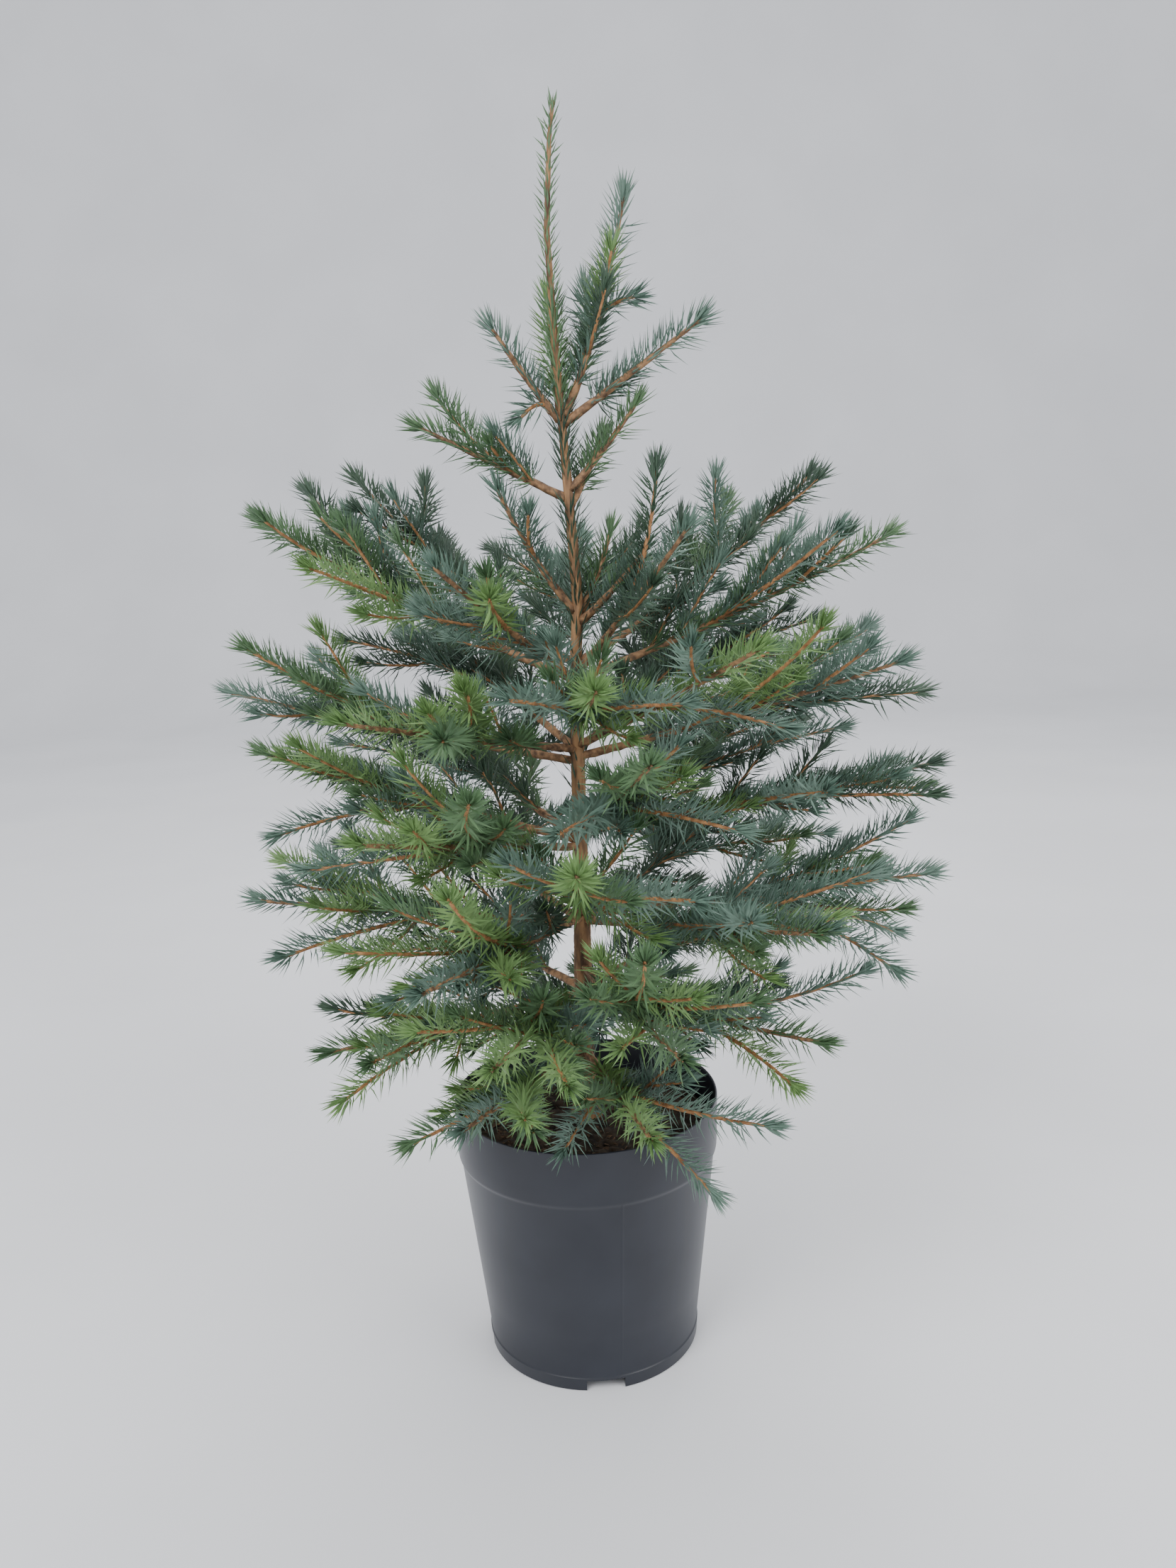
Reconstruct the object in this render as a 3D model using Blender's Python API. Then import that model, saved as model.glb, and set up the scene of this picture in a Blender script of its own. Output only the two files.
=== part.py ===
# A young Serbian spruce in a round plastic nursery pot.
# Metres, +Z up. The middle of the pot's foot is the origin, +X is the right-hand side and -Y the front.
import math

import bmesh
import bpy
import numpy as np
from mathutils import Vector
from mathutils.bvhtree import BVHTree

CLEARANCE = 0.0003

# Pot: a tapered wall with a collar under the rim and a notched foot
POT_HEIGHT = 0.175
POT_FOOT_RADIUS = 0.0715
POT_NECK_RADIUS = 0.0866
POT_RIM_RADIUS = 0.0885
POT_WALL = 0.0015
POT_SIDES = 28
COLLAR_HEIGHT = 0.038
FOOT_BAND = 0.009
FOOT_GROOVE = 0.0008
FOOT_RIM_WIDTH = 0.005
FLOOR_LIFT = 0.009
FLOOR_THICKNESS = 0.002
NOTCH_COUNT = 4
NOTCH_WIDTH = 0.025
NOTCH_HEIGHT = 0.0075
NOTCH_AZIMUTH = 275.0

# Soil: the potting mix, level where the trunk stands on it
SOIL_HEIGHT = 0.157
SOIL_SIDES = 18
SOIL_EDGE_DROP = 0.003

# Trunk: where its middle runs to the right of the pot's middle, and how thick it is, by height
TRUNK_LINE = ((0.157, 0.0), (0.30, 0.002), (0.467, 0.004), (0.50, 0.007), (0.56, 0.004),
              (0.65, -0.001), (0.72, -0.0035), (0.77, 0.000), (0.79, 0.003))
TRUNK_GIRTH = ((0.157, 0.0105), (0.168, 0.0082), (0.19, 0.0070), (0.30, 0.0056), (0.45, 0.0040),
               (0.56, 0.0031), (0.65, 0.0023), (0.74, 0.0017), (0.79, 0.0011))
TRUNK_SIDES = 8
TRUNK_RING_STEP = 0.030
FLARE_LOBES = 4
FLARE_DEPTH = 0.12
BUD_LENGTH = 0.004

# Needles and the shoots that carry them
NEEDLE_OUT = 0.0135
NEEDLE_FORWARD = 0.0120
NEEDLE_STEP = 0.0220
BARE_STEP = 0.035
CORE_SIDES = 3
LIMB_SIDES = 5
LIMB_RINGS = 6
LIMB_SWELL = 1.25
CORE_TWIST = 40.0
STEM_RADIUS = 0.0026
SHOOT_RADIUS = 0.0015
SHORT_STEM_SWELL = 1.2
TIP_TAPER = 0.8
TIP_LENGTH = 0.007
LAST_NEEDLES = (0.8, 1.3)
LONG_BOUGH = 0.12
BARE_SHARE = 0.30
SHORT_BARE_SHARE = 0.12
ROOM = 0.0006

# A bough's root is moved out by this step until it is clear of the trunk
SEAT_STEP = 0.0001
SEAT_STEPS = 160

# Side shoots: a pair leaves each bough this far behind its tip
SIDE_SHOOT_BACK = 0.062
SIDE_SHOOT_LENGTH = 0.046
SIDE_SHOOT_ANGLE = 48.0
SHOOT_RISE = 0.12

# Needle sleeves round the trunk: lowest and highest height, needle standing out, needle leaning up
SLEEVES = {
    "leader": (0.633, 0.7885, 0.0070, 0.0120),
    "upper": (0.579, 0.603, 0.0085, 0.0110),
    "middle": (0.506, 0.556, 0.0085, 0.0110),
}
SLEEVE_ROOM = 0.0007
SLEEVE_THICKNESS = 0.0009
SLEEVE_STEP = 0.0155

# Crown, from the top whorl down. Each bough has an azimuth, the height of its root on the trunk, the
# reach and height of its tip, and how much of its rise is done half way out. The forks each have the
# share of the bough at which they leave it, and their tip's azimuth, reach and height.
CROWN = {
    "w1_left": ((195, 0.612, 0.039, 0.664, 0.45), ((0.20, 215, 0.028, 0.613),)),
    "w1_tall": ((15, 0.614, 0.045, 0.741, 0.30), ((0.55, 350, 0.047, 0.680),)),
    "w1_right": ((345, 0.610, 0.086, 0.663, 0.50), ()),
    "w1_back": ((100, 0.616, 0.030, 0.688, 0.25), ()),
    "w2_left": ((170, 0.566, 0.088, 0.612, 0.50), ((0.42, 158, 0.082, 0.631), (0.35, 188, 0.042, 0.597))),
    "w2_right": ((350, 0.571, 0.046, 0.618, 0.45), ()),
    "w2_back": ((50, 0.562, 0.040, 0.604, 0.40), ()),
    "w3_left": ((185, 0.497, 0.040, 0.572, 0.35), ((0.55, 215, 0.026, 0.556),)),
    "w3_right": ((335, 0.490, 0.052, 0.532, 0.40), ((0.45, 352, 0.046, 0.522),)),
    "w3_right_back": ((25, 0.497, 0.032, 0.544, 0.35), ()),
    "w3_back": ((92, 0.492, 0.070, 0.525, 0.40), ()),
    "w4_left": ((172, 0.455, 0.195, 0.559, 0.40), ((0.42, 160, 0.178, 0.577), (0.38, 203, 0.158, 0.530))),
    "w4_left_back": ((146, 0.465, 0.170, 0.586, 0.35), ((0.45, 126, 0.155, 0.545),)),
    "w4_back": ((86, 0.462, 0.175, 0.545, 0.35), ((0.40, 56, 0.180, 0.527), (0.40, 108, 0.170, 0.535))),
    "w4_right_back": ((30, 0.465, 0.198, 0.579, 0.35), ((0.45, 48, 0.175, 0.565),)),
    "w4_right": ((8, 0.455, 0.212, 0.537, 0.40), ((0.40, 350, 0.165, 0.540),)),
    "w4_front_right": ((318, 0.460, 0.095, 0.545, 0.45), ((0.45, 335, 0.062, 0.580),)),
    "w4_front_left": ((236, 0.455, 0.125, 0.528, 0.45), ((0.50, 250, 0.120, 0.511),)),
    "w5_left": ((166, 0.402, 0.236, 0.447, 0.40), ((0.40, 183, 0.198, 0.481), (0.42, 152, 0.200, 0.465))),
    "w5_front_left": ((224, 0.410, 0.172, 0.448, 0.45), ((0.42, 247, 0.168, 0.442),)),
    "w5_front": ((275, 0.424, 0.152, 0.464, 0.50), ((0.40, 258, 0.152, 0.461), (0.45, 292, 0.155, 0.455))),
    "w5_front_right": ((310, 0.413, 0.158, 0.480, 0.45), ((0.45, 323, 0.150, 0.432),)),
    "w5_right": ((352, 0.405, 0.205, 0.461, 0.42), ((0.38, 333, 0.163, 0.487), (0.42, 7, 0.232, 0.434),
                                                    (0.38, 18, 0.216, 0.475))),
    "w5_back_right": ((52, 0.410, 0.205, 0.490, 0.40),
                      ((0.42, 33, 0.210, 0.478), (0.42, 74, 0.200, 0.475))),
    "w5_back_left": ((122, 0.410, 0.200, 0.490, 0.40),
                     ((0.42, 143, 0.200, 0.475), (0.42, 99, 0.195, 0.480))),
    "w6_left": ((178, 0.350, 0.199, 0.413, 0.45), ((0.42, 191, 0.185, 0.369), (0.42, 162, 0.195, 0.395))),
    "w6_front_left": ((230, 0.346, 0.180, 0.385, 0.45),
                      ((0.40, 207, 0.176, 0.357), (0.42, 253, 0.180, 0.412))),
    "w6_front": ((284, 0.355, 0.165, 0.426, 0.50), ((0.42, 267, 0.170, 0.394), (0.42, 302, 0.165, 0.385))),
    "w6_right": ((4, 0.355, 0.236, 0.388, 0.45), ((0.38, 330, 0.168, 0.393), (0.45, 351, 0.223, 0.378))),
    "w6_back_right": ((48, 0.350, 0.215, 0.410, 0.45),
                      ((0.42, 28, 0.220, 0.400), (0.42, 72, 0.204, 0.400))),
    "w6_back_left": ((124, 0.350, 0.210, 0.410, 0.45),
                     ((0.42, 100, 0.200, 0.400), (0.42, 145, 0.205, 0.400))),
    "w7_left": ((187, 0.295, 0.202, 0.324, 0.45), ((0.40, 171, 0.200, 0.335), (0.40, 202, 0.190, 0.302))),
    "w7_front_left": ((243, 0.298, 0.185, 0.310, 0.50),
                      ((0.42, 224, 0.182, 0.322), (0.42, 250, 0.190, 0.365))),
    "w7_front": ((270, 0.302, 0.192, 0.378, 0.50), ((0.42, 288, 0.190, 0.360),)),
    "w7_front_right": ((316, 0.296, 0.185, 0.322, 0.48),
                       ((0.42, 300, 0.182, 0.340), (0.42, 333, 0.192, 0.345))),
    "w7_right": ((358, 0.300, 0.228, 0.320, 0.45), ((0.45, 344, 0.201, 0.273), (0.45, 10, 0.222, 0.266),
                                                    (0.42, 4, 0.220, 0.350))),
    "w7_back_right": ((52, 0.295, 0.212, 0.340, 0.45),
                      ((0.42, 31, 0.215, 0.320), (0.42, 74, 0.201, 0.335))),
    "w7_back_left": ((124, 0.295, 0.208, 0.340, 0.45),
                     ((0.42, 100, 0.200, 0.330), (0.42, 147, 0.205, 0.325))),
    "w8_left": ((200, 0.245, 0.168, 0.234, 0.50), ((0.40, 187, 0.160, 0.247), (0.40, 214, 0.172, 0.220),
                                                   (0.38, 224, 0.168, 0.252))),
    "w8_front": ((254, 0.250, 0.176, 0.268, 0.55), ((0.40, 240, 0.178, 0.285), (0.42, 267, 0.170, 0.258))),
    "w8_front_right": ((288, 0.264, 0.170, 0.266, 0.55),
                       ((0.42, 280, 0.188, 0.330), (0.42, 303, 0.172, 0.290))),
    "w8_right": ((335, 0.245, 0.162, 0.232, 0.50), ((0.42, 321, 0.157, 0.220), (0.42, 356, 0.184, 0.256))),
    "w8_back_right": ((48, 0.250, 0.195, 0.258, 0.50),
                      ((0.40, 24, 0.200, 0.255), (0.42, 73, 0.190, 0.255))),
    "w8_back_left": ((124, 0.248, 0.190, 0.255, 0.50),
                     ((0.42, 99, 0.185, 0.255), (0.42, 152, 0.180, 0.250))),
    "w9_front_left": ((241, 0.207, 0.145, 0.213, 0.60),
                      ((0.42, 230, 0.156, 0.203), (0.42, 257, 0.150, 0.228))),
    "w9_front_right": ((285, 0.205, 0.140, 0.207, 0.62),
                       ((0.42, 302, 0.136, 0.162), (0.42, 311, 0.160, 0.205))),
    "w9_back": ((90, 0.205, 0.150, 0.212, 0.60), ((0.40, 58, 0.150, 0.210), (0.40, 124, 0.150, 0.210))),
}
# Boughs whose end is a long plain shoot, with no side shoots
PLAIN_BOUGHS = ("w1_tall", "w4_left_back", "w4_back", "w4_front_left", "w4_front_right")
# The main boughs, each bare up to this share of its length, where its mass of foliage begins
MAIN_BOUGHS = {"w4_left": 0.36, "w4_right": 0.36, "w5_right": 0.34, "w6_left": 0.36,
               "w6_right": 0.34, "w7_left": 0.36, "w7_right": 0.36}

COLOURS = {
    "pot": ((0.030, 0.036, 0.052), 0.32),
    "soil": ((0.030, 0.022, 0.016), 0.95),
    "bark": ((0.200, 0.120, 0.062), 0.80),
    "needles": ((0.075, 0.145, 0.085), 0.60),
}


def clear_scene():
    for item in list(bpy.data.objects):
        bpy.data.objects.remove(item, do_unlink=True)


def material(name):
    """The Principled material of this name, made once."""
    found = bpy.data.materials.get(name)
    if found:
        return found
    colour, roughness = COLOURS[name]
    made = bpy.data.materials.new(name)
    made.use_nodes = True
    shader = made.node_tree.nodes["Principled BSDF"]
    shader.inputs["Base Color"].default_value = (*colour, 1.0)
    shader.inputs["Roughness"].default_value = roughness
    shader.inputs["Metallic"].default_value = 0.0
    made.diffuse_color = (*colour, 1.0)
    return made


def add_object(name, points, faces, finish):
    mesh = bpy.data.meshes.new(name)
    mesh.from_pydata([tuple(map(float, p)) for p in points], [], faces)
    mesh.validate()
    mesh.materials.append(material(finish))
    made = bpy.data.objects.new(name, mesh)
    bpy.context.scene.collection.objects.link(made)
    return made


def turned(name, profile, sides, finish):
    """A closed body of revolution from (radius, height) points that start and end on the axis."""
    shape = bmesh.new()
    corners = [shape.verts.new((r, 0.0, z)) for r, z in profile]
    edges = [shape.edges.new(pair) for pair in zip(corners, corners[1:])]
    bmesh.ops.spin(shape, geom=corners + edges, cent=(0, 0, 0), axis=(0, 0, 1),
                   angle=math.tau, steps=sides, use_merge=False)
    bmesh.ops.remove_doubles(shape, verts=shape.verts, dist=0.00001)
    bmesh.ops.recalc_face_normals(shape, faces=shape.faces)
    mesh = bpy.data.meshes.new(name)
    shape.to_mesh(mesh)
    shape.free()
    mesh.shade_smooth()
    mesh.set_sharp_from_angle(angle=math.radians(35))
    mesh.materials.append(material(finish))
    made = bpy.data.objects.new(name, mesh)
    bpy.context.scene.collection.objects.link(made)
    return made


def wall_radius(height):
    """Outer radius of the pot's tapered wall below its collar."""
    neck = POT_HEIGHT - COLLAR_HEIGHT
    share = (height - FOOT_BAND) / (neck - FOOT_BAND)
    return POT_FOOT_RADIUS + share * (POT_NECK_RADIUS - POT_FOOT_RADIUS - FOOT_GROOVE)


def pot_profile():
    """Radius and height round half of the pot's section, from the floor's top middle to its underside."""
    neck = POT_HEIGHT - COLLAR_HEIGHT
    inside = POT_RIM_RADIUS - POT_WALL
    floor_top = FLOOR_LIFT
    floor_under = FLOOR_LIFT - FLOOR_THICKNESS
    return [
        (0.0, floor_top),
        (wall_radius(floor_top) - POT_WALL, floor_top),
        (wall_radius(neck) - POT_WALL, neck - 0.001),
        (inside - 0.0016, neck + 0.003),
        (inside, POT_HEIGHT - 0.0008),
        (inside + 0.0004, POT_HEIGHT),
        (POT_RIM_RADIUS - 0.0004, POT_HEIGHT),
        (POT_RIM_RADIUS, POT_HEIGHT - 0.0010),
        (POT_RIM_RADIUS - 0.0010, neck + 0.0030),
        (POT_RIM_RADIUS - 0.0022, neck + 0.0006),
        (wall_radius(neck), neck - 0.0006),
        (wall_radius(FOOT_BAND + 0.001), FOOT_BAND + 0.001),
        (POT_FOOT_RADIUS + FOOT_GROOVE, FOOT_BAND),
        (POT_FOOT_RADIUS, 0.0),
        (POT_FOOT_RADIUS - FOOT_RIM_WIDTH, 0.0),
        (POT_FOOT_RADIUS - FOOT_RIM_WIDTH, floor_under),
        (0.0, floor_under),
    ]


def cut_notch(pot, azimuth):
    """Cuts one slot through the foot, flat on top and open below."""
    turn = math.radians(azimuth)
    bpy.ops.mesh.primitive_cube_add(size=1.0)
    cutter = bpy.context.object
    cutter.name = "notch_cutter"
    cutter.scale = (0.030, NOTCH_WIDTH, 2 * NOTCH_HEIGHT)
    reach = POT_FOOT_RADIUS - 0.004
    cutter.location = (reach * math.cos(turn), reach * math.sin(turn), 0.0)
    cutter.rotation_euler = (0.0, 0.0, turn)
    cut = pot.modifiers.new("notch", "BOOLEAN")
    cut.operation = "DIFFERENCE"
    cut.solver = "EXACT"
    cut.object = cutter
    apply_modifiers(pot)
    bpy.data.objects.remove(cutter, do_unlink=True)


def apply_modifiers(item):
    """Turns the evaluated mesh into the object's own mesh."""
    bpy.context.view_layer.update()
    graph = bpy.context.evaluated_depsgraph_get()
    result = bpy.data.meshes.new_from_object(item.evaluated_get(graph))
    item.modifiers.clear()
    item.data = result


def make_pot():
    pot = turned("pot", pot_profile(), POT_SIDES, "pot")
    for number in range(NOTCH_COUNT):
        cut_notch(pot, NOTCH_AZIMUTH + number * 360.0 / NOTCH_COUNT)
    return pot


def make_soil():
    """Fills the pot to the soil's height, clear of its wall by the corner's and the facets' room."""
    facet = 1 - math.cos(math.pi / POT_SIDES)
    room = CLEARANCE + POT_RIM_RADIUS * facet
    neck = POT_HEIGHT - COLLAR_HEIGHT - 0.002
    low = wall_radius(FLOOR_LIFT) - POT_WALL - room
    high = wall_radius(neck) - POT_WALL - room
    profile = [
        (0.0, SOIL_HEIGHT),
        (0.030, SOIL_HEIGHT),
        (high * 0.75, SOIL_HEIGHT - 0.3 * SOIL_EDGE_DROP),
        (high, SOIL_HEIGHT - SOIL_EDGE_DROP),
        (high, neck),
        (low, FLOOR_LIFT + CLEARANCE),
        (0.0, FLOOR_LIFT + CLEARANCE),
    ]
    return turned("soil", profile, SOIL_SIDES, "soil")


def trunk_middle(height):
    heights, offsets = zip(*TRUNK_LINE)
    return np.array([np.interp(height, heights, offsets), 0.0, height])


def trunk_radius(height):
    heights, radii = zip(*TRUNK_GIRTH)
    return float(np.interp(height, heights, radii))


def trunk_ring(height, grow=0.0):
    """Corners of the trunk's section, grown outwards by a distance. The root flare has soft lobes."""
    angles = np.arange(TRUNK_SIDES) * math.tau / TRUNK_SIDES
    flare = max(0.0, 1 - (height - SOIL_HEIGHT) / 0.025)
    radii = trunk_radius(height) * (1 + FLARE_DEPTH * flare * np.cos(FLARE_LOBES * angles)) + grow
    flat = np.stack([np.cos(angles) * radii, np.sin(angles) * radii, np.zeros(TRUNK_SIDES)], 1)
    return trunk_middle(height) + flat


def ring_walls(rings, sides, first=0):
    """Quads between one ring of corners and the next, facing out for rings that go up."""
    return [
        (first + i * sides + k, first + i * sides + (k + 1) % sides,
         first + (i + 1) * sides + (k + 1) % sides, first + (i + 1) * sides + k)
        for i in range(rings - 1) for k in range(sides)
    ]


def make_trunk():
    """The trunk from its flat cut on the soil up to the leader's bud."""
    foot = SOIL_HEIGHT + CLEARANCE
    top = TRUNK_LINE[-1][0]
    steps = math.ceil((top - foot) / TRUNK_RING_STEP)
    heights = [foot, foot + 0.004, foot + 0.011] + list(np.linspace(foot, top, steps + 1)[1:])
    rings = [trunk_ring(height) for height in heights]
    tip = trunk_middle(top) + np.array([0.0, 0.0, BUD_LENGTH])
    points = np.concatenate(rings + [tip[None]])
    faces = ring_walls(len(rings), TRUNK_SIDES)
    last = (len(rings) - 1) * TRUNK_SIDES
    faces += [(last + k, last + (k + 1) % TRUNK_SIDES, len(points) - 1) for k in range(TRUNK_SIDES)]
    faces.append(tuple(reversed(range(TRUNK_SIDES))))
    return add_object("trunk", points, faces, "bark")


def unit(v):
    return v / max(float(np.linalg.norm(v)), 1e-12)


def curve_point(curve, share):
    """Point of a quadratic curve given by its start, its pull and its end."""
    start, pull, end = curve
    return (1 - share) ** 2 * start + 2 * share * (1 - share) * pull + share * share * end


def curve_course(curve, share):
    start, pull, end = curve
    return unit(2 * (1 - share) * (pull - start) + 2 * share * (end - pull))


def curve_length(curve):
    points = np.array([curve_point(curve, s) for s in np.linspace(0, 1, 17)])
    return float(np.linalg.norm(np.diff(points, axis=0), axis=1).sum())


def crown_point(azimuth, reach, height):
    turn = math.radians(azimuth)
    return np.array([reach * math.cos(turn), reach * math.sin(turn), height])


def bough_curve(azimuth, root, reach, tip_height, rise, out):
    """A bough starts this far out from the trunk's middle and ends at its tip."""
    turn = math.radians(azimuth)
    end = crown_point(azimuth, reach, tip_height)
    start = trunk_middle(root) + out * np.array([math.cos(turn), math.sin(turn), 0.0])
    span = end - start
    pull = start + span * np.array([0.5, 0.5, rise])
    return start, pull, end


def seated(bough, radius, sides, trunk):
    """The bough's curve with its root just clear of the trunk, however steeply it leaves."""
    for step in range(SEAT_STEPS):
        curve = bough_curve(*bough, step * SEAT_STEP)
        root = np.concatenate(rings_along(curve, (0.0, 0.05), radius, radius, sides))
        stub = body_tree(root, ring_walls(2, sides) + [tuple(range(sides))])
        if step * SEAT_STEP > 0.8 * trunk_radius(bough[1]) and not stub.overlap(trunk):
            break
    return bough_curve(*bough, step * SEAT_STEP + CLEARANCE)


def fork_curve(bough, share, azimuth, reach, tip_height):
    """A fork leaves its bough along the bough's own course, then turns to its tip."""
    start = curve_point(bough, share)
    end = crown_point(azimuth, reach, tip_height)
    span = end - start
    pull = start + 0.28 * span + 0.22 * float(np.linalg.norm(span)) * curve_course(bough, share)
    return start, pull, end


def side_curve(stem, share, side, length, angle, roll):
    """A side shoot leaves to the left or right of its stem, turned up or down by its roll."""
    course = curve_course(stem, share)
    across = unit(np.cross(course, (0.0, 0.0, 1.0))) * side
    over = np.cross(across, course) * side
    spread = across * math.cos(roll) + over * math.sin(roll)
    away = course * math.cos(angle) + spread * math.sin(angle)
    start = curve_point(stem, share)
    pull = start + 0.5 * length * away
    end = start + length * unit(away + 0.2 * course + np.array([0.0, 0.0, SHOOT_RISE]))
    return start, pull, end


def side_shoots(stem, seed):
    """The pair of side shoots behind a stem's tip, by a seeded rule."""
    chance = np.random.RandomState(seed)
    length = curve_length(stem)
    if length < 2 * SIDE_SHOOT_BACK:
        return []
    made = []
    for side in (-1, 1):
        share = 1 - SIDE_SHOOT_BACK * (1 + 0.25 * chance.uniform(-1, 1)) / length
        reach = SIDE_SHOOT_LENGTH * (1 + 0.2 * chance.uniform(-1, 1))
        angle = math.radians(SIDE_SHOOT_ANGLE + 8 * chance.uniform(-1, 1))
        roll = math.radians(30 * chance.uniform(-1, 1))
        made.append((side_curve(stem, share, side, reach, angle, roll), share))
    return made


def ring_shares(curve, first, bare):
    """Where the rings lie along a curve: far apart over its bare stretch, then one to each row of needles."""
    length = curve_length(curve)
    start = min(max(bare, first), 0.95)
    rows = max(1, round(length * (1 - start) / NEEDLE_STEP))
    shares = list(np.linspace(start, 1.0, rows + 1))
    if start > first:
        steps = max(1, round(length * (start - first) / BARE_STEP))
        shares = list(np.linspace(first, start, steps + 1)[:-1]) + shares
    return shares


def rings_along(curve, shares, start_radius, end_radius, sides):
    """Corners of the rings round a curve, each ring turned a little more than the one before it."""
    rings = []
    for number, share in enumerate(shares):
        course = curve_course(curve, share)
        across = unit(np.cross(course, (0.0, 0.0, 1.0)))
        over = np.cross(across, course)
        radius = start_radius + (end_radius - start_radius) * number / (len(shares) - 1)
        turn = np.arange(sides) * math.tau / sides + math.radians(CORE_TWIST) * number
        middle = curve_point(curve, share)
        rings.append(middle + radius * (np.outer(np.cos(turn), across) - np.outer(np.sin(turn), over)))
    return rings


def spray(shoot, allowed=None, grow=0.0):
    """A shoot: a slim core whose sides are drawn out into needles.

    Each wall of the core beyond its bare stretch becomes a needle, unless its number is left out of
    allowed. Returns points, faces and, for each needle, its number and its four faces' places.
    """
    curve, first, start_radius, bare = shoot
    shares = ring_shares(curve, first, bare)
    rings = rings_along(curve, shares, start_radius + grow, SHOOT_RADIUS * TIP_TAPER + grow, CORE_SIDES)
    points = list(np.concatenate(rings))
    faces = []
    needles = []
    for number, quad in enumerate(ring_walls(len(rings), CORE_SIDES)):
        row = number // CORE_SIDES
        if shares[row] < bare - 1e-6 or (allowed is not None and number not in allowed):
            faces += [quad[:3], (quad[0], quad[2], quad[3])]
            continue
        course = unit(rings[row + 1].mean(0) - rings[row].mean(0))
        foot = np.mean([points[corner] for corner in quad], axis=0)
        out = foot - 0.5 * (rings[row + 1].mean(0) + rings[row].mean(0))
        out = unit(out - course * float(out @ course))
        spread, lean = LAST_NEEDLES if row == len(rings) - 2 else (1.0, 1.0)
        points.append(foot + out * (NEEDLE_OUT + grow) * spread + course * (NEEDLE_FORWARD + grow) * lean)
        needles.append((number, range(len(faces), len(faces) + 4)))
        faces += [(quad[a], quad[(a + 1) % 4], len(points) - 1) for a in range(4)]
    points.append(rings[-1].mean(0) + curve_course(curve, 1.0) * (TIP_LENGTH + grow))
    last = (len(rings) - 1) * CORE_SIDES
    faces += [(last + k, last + (k + 1) % CORE_SIDES, len(points) - 1) for k in range(CORE_SIDES)]
    faces.append(tuple(reversed(range(CORE_SIDES))))
    return np.array(points), faces, needles


def core(shoot, grow=0.0):
    """The same shoot with no needles, as points and faces."""
    return spray(shoot, (), grow)[:2]


def make_limb(name, share, trunk):
    """A main bough, bare from the trunk to where its foliage begins."""
    curve = seated(CROWN[name][0], STEM_RADIUS * LIMB_SWELL, LIMB_SIDES, trunk)
    length = curve_length(curve)
    shares = np.linspace(0.0, share - CLEARANCE / length, LIMB_RINGS)
    rings = rings_along(curve, shares, STEM_RADIUS * LIMB_SWELL, STEM_RADIUS, LIMB_SIDES)
    faces = ring_walls(LIMB_RINGS, LIMB_SIDES)
    faces.append(tuple(reversed(range(LIMB_SIDES))))
    end = (LIMB_RINGS - 1) * LIMB_SIDES
    faces.append(tuple(range(end, end + LIMB_SIDES)))
    return add_object("bough_" + name, np.concatenate(rings), faces, "bark")


def plan_mass(place, name, trunk):
    """The shoots of one mass: a stem (rank 0), its forks (1) and their side shoots (2).

    Each comes with its rank, the number of the shoot it leaves and the share at which it leaves it.
    A shoot is its curve, its first share, its radius there and the share up to which it is bare.
    """
    bough, forks = CROWN[name]
    long = bough[2] > LONG_BOUGH
    girth = STEM_RADIUS if long else SHOOT_RADIUS * SHORT_STEM_SWELL
    first = MAIN_BOUGHS.get(name, 0.0)
    if first:
        stem = seated(bough, STEM_RADIUS * LIMB_SWELL, LIMB_SIDES, trunk)
    else:
        stem = seated(bough, girth, CORE_SIDES, trunk)
    bare = max(BARE_SHARE if long else SHORT_BARE_SHARE, first)
    shoots = [(0, (stem, first, girth, bare), None, 0.0)]
    for fork in forks:
        shoots.append((1, (fork_curve(stem, *fork), 0.0, SHOOT_RADIUS * 1.15, 0.1), 0, fork[0]))
    leafy = 0 if name in PLAIN_BOUGHS else 1 if len(forks) > 1 else 2
    for number in range(min(leafy, len(shoots))):
        for side, share in side_shoots(shoots[number][1][0], 10 * place + number):
            shoots.append((2, (side, 0.0, SHOOT_RADIUS, 0.12), number, share))
    return shoots


def body_tree(points, faces):
    return BVHTree.FromPolygons([Vector(p) for p in points], faces, all_triangles=False)


def object_tree(item):
    return body_tree([item.matrix_world @ v.co for v in item.data.vertices],
                     [tuple(f.vertices) for f in item.data.polygons])


def shortened(curve, share):
    """The first part of a curve, up to a share of it."""
    start, pull, _ = curve
    return start, start + share * (pull - start), curve_point(curve, share)


def fit_cores(limbs, trunk):
    """Plans every mass, and drops or shortens each shoot whose core would meet another piece.

    Stems have the first choice of room, then forks, then side shoots. A shoot whose own stem was
    dropped, or shortened to before the place where it leaves, is dropped too.
    """
    planned = [(rank, name, number, *entry)
               for place, name in enumerate(CROWN)
               for number, (rank, *entry) in enumerate(plan_mass(place, name, trunk))]
    planned.sort(key=lambda entry: entry[0])
    placed = []
    kept = {}
    plan = {name: [] for name in CROWN}
    for rank, name, number, shoot, parent, leaves in planned:
        if parent is not None and leaves > 0.97 * kept.get((name, parent), 0.0):
            continue
        others = [tree for owner, tree in placed if owner != name]
        for share in (1.0, 0.75, 0.5):
            short = (shortened(shoot[0], share), *shoot[1:])
            roomy = body_tree(*core(short, ROOM))
            slim = body_tree(*core(short))
            if any(roomy.overlap(other) for other in others) or any(slim.overlap(limb) for limb in limbs):
                continue
            kept[name, number] = share
            plan[name].append(short)
            placed.append((name, roomy))
            break
    return plan


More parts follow.
